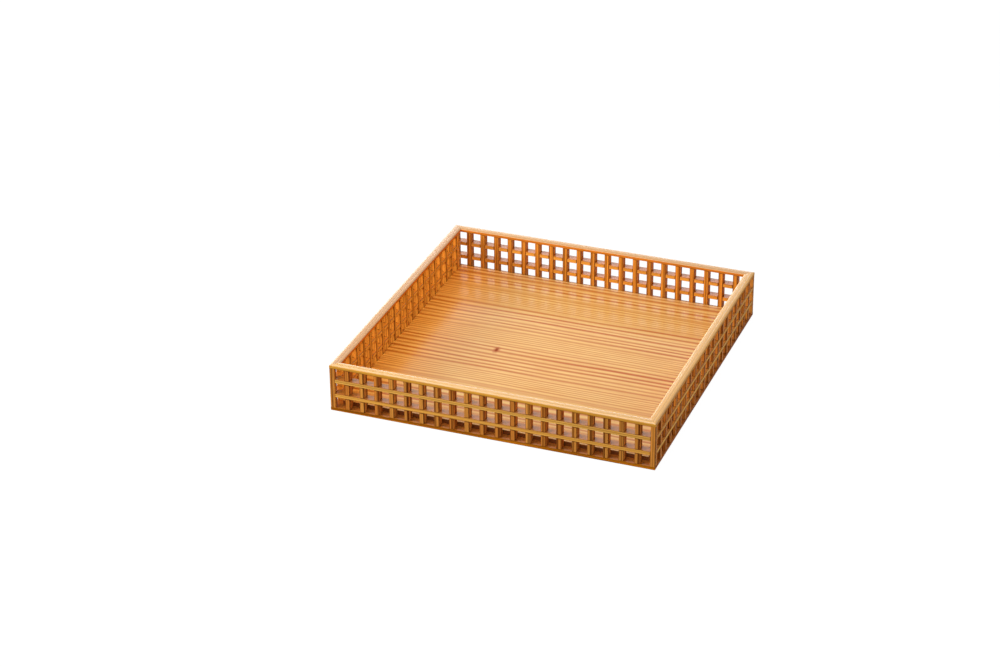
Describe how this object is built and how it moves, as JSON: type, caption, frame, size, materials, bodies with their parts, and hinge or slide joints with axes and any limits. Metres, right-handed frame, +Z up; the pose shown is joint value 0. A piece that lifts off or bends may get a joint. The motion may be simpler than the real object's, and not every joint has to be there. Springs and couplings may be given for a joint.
{
  "type": "meal tray",
  "caption": "Square wooden serving tray: a flat floor board inside four open lattice walls with corner posts and a mitred top rim.",
  "frame": {"origin": "on the table under the middle of the tray, at the underside of the base frame", "axes": "+Z up, front wall towards -Y, grain of the floor board along X"},
  "size_m": [0.3, 0.3, 0.0454],
  "materials": {
    "floor_wood": "straight-grained cedar board under a clear semi-gloss coat",
    "rim_wood": "cedar stick under a clear semi-gloss coat",
    "base_wood": "cedar rail under a clear semi-gloss coat",
    "rail_wood": "cedar stick under a clear semi-gloss coat",
    "bar_wood": "cedar stick under a clear semi-gloss coat"
  },
  "bodies": {
    "root": {"floor_board": "floor_wood", "front_base_rail": "base_wood", "front_top_rail": "rim_wood", "right_base_rail": "base_wood", "right_top_rail": "rim_wood", "back_base_rail": "base_wood", "back_top_rail": "rim_wood", "left_base_rail": "base_wood", "left_top_rail": "rim_wood", "corner_post_front_left": "bar_wood", "corner_post_front_right": "bar_wood", "corner_post_back_right": "bar_wood", "corner_post_back_left": "bar_wood", "front_mid_rail_lower": "rail_wood", "front_mid_rail_upper": "rail_wood", "front_bar_01": "bar_wood", "front_bar_02": "bar_wood", "front_bar_03": "bar_wood", "front_bar_04": "bar_wood", "front_bar_05": "bar_wood", "front_bar_06": "bar_wood", "front_bar_07": "bar_wood", "front_bar_08": "bar_wood", "front_bar_09": "bar_wood", "front_bar_10": "bar_wood", "front_bar_11": "bar_wood", "front_bar_12": "bar_wood", "front_bar_13": "bar_wood", "front_bar_14": "bar_wood", "front_bar_15": "bar_wood", "front_bar_16": "bar_wood", "front_bar_17": "bar_wood", "front_bar_18": "bar_wood", "front_bar_19": "bar_wood", "front_bar_20": "bar_wood", "back_mid_rail_lower": "rail_wood", "back_mid_rail_upper": "rail_wood", "back_bar_01": "bar_wood", "back_bar_02": "bar_wood", "back_bar_03": "bar_wood", "back_bar_04": "bar_wood", "back_bar_05": "bar_wood", "back_bar_06": "bar_wood", "back_bar_07": "bar_wood", "back_bar_08": "bar_wood", "back_bar_09": "bar_wood", "back_bar_10": "bar_wood", "back_bar_11": "bar_wood", "back_bar_12": "bar_wood", "back_bar_13": "bar_wood", "back_bar_14": "bar_wood", "back_bar_15": "bar_wood", "back_bar_16": "bar_wood", "back_bar_17": "bar_wood", "back_bar_18": "bar_wood", "back_bar_19": "bar_wood", "back_bar_20": "bar_wood", "left_lattice": "bar_wood", "right_lattice": "bar_wood"}
  },
  "joints": []
}
